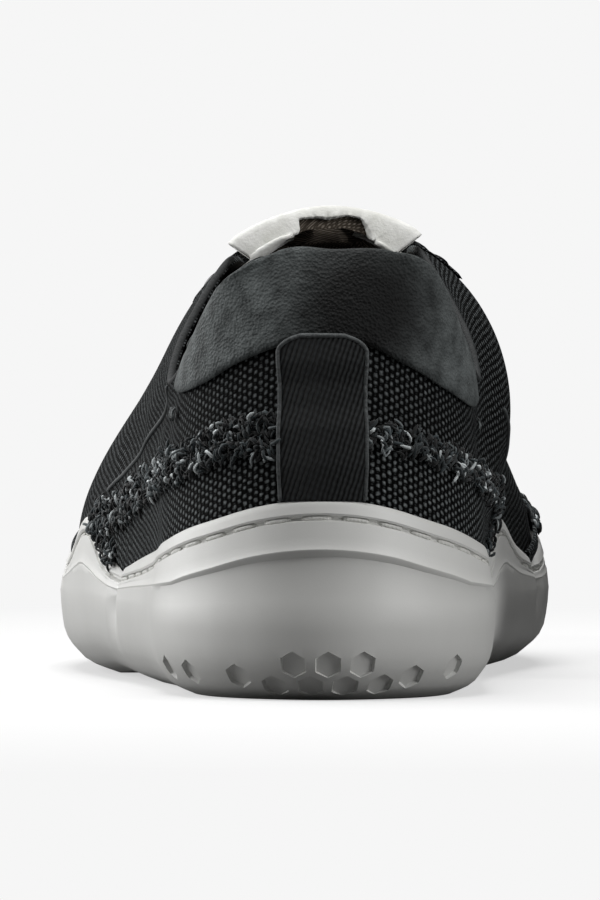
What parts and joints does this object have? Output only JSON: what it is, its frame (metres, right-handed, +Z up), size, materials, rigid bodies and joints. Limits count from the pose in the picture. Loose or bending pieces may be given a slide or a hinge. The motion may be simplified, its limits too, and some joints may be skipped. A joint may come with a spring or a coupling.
{
  "type": "barefoot shoe",
  "caption": "Low canvas barefoot shoe for the left foot: thin wide cupsole with a scalloped edge, hollow canvas upper, raw frayed overlays, heel tab, tongue and flat lace.",
  "frame": {"origin": "on the floor, at the middle of the heel's flat spot on the sole, 40 mm in front of the heel's back", "axes": "+Z up, +Y towards the toe, +X towards the inner (medial) side of the left foot"},
  "size_m": [0.1041, 0.283, 0.0986],
  "materials": {
    "outsole_rubber": "matt moulded light grey",
    "black_canvas": "coarse plain weave",
    "frayed_canvas": "coarse weave with a raw frayed edge",
    "grey_nubuck": "fine matt grain",
    "twill_tape": "steep twill with piped edges",
    "light_suede": "soft light grey nap",
    "foam_footbed": "dark fabric-faced foam",
    "enamelled_eyelet": "black enamel",
    "cotton_lace": "flat woven cotton"
  },
  "bodies": {
    "root": {"outsole": "outsole_rubber", "insole": "foam_footbed", "upper": "black_canvas", "tongue": "light_suede", "heel_panel": "frayed_canvas", "toe_panel": "frayed_canvas", "heel_tab": "grey_nubuck", "heel_tape": "twill_tape", "facing": "black_canvas", "lace": "cotton_lace", "eyelet_lateral_1": "enamelled_eyelet", "eyelet_lateral_2": "enamelled_eyelet", "eyelet_lateral_3": "enamelled_eyelet", "eyelet_lateral_4": "enamelled_eyelet", "eyelet_lateral_5": "enamelled_eyelet", "eyelet_medial_1": "enamelled_eyelet", "eyelet_medial_2": "enamelled_eyelet", "eyelet_medial_3": "enamelled_eyelet", "eyelet_medial_4": "enamelled_eyelet", "eyelet_medial_5": "enamelled_eyelet"}
  },
  "joints": []
}
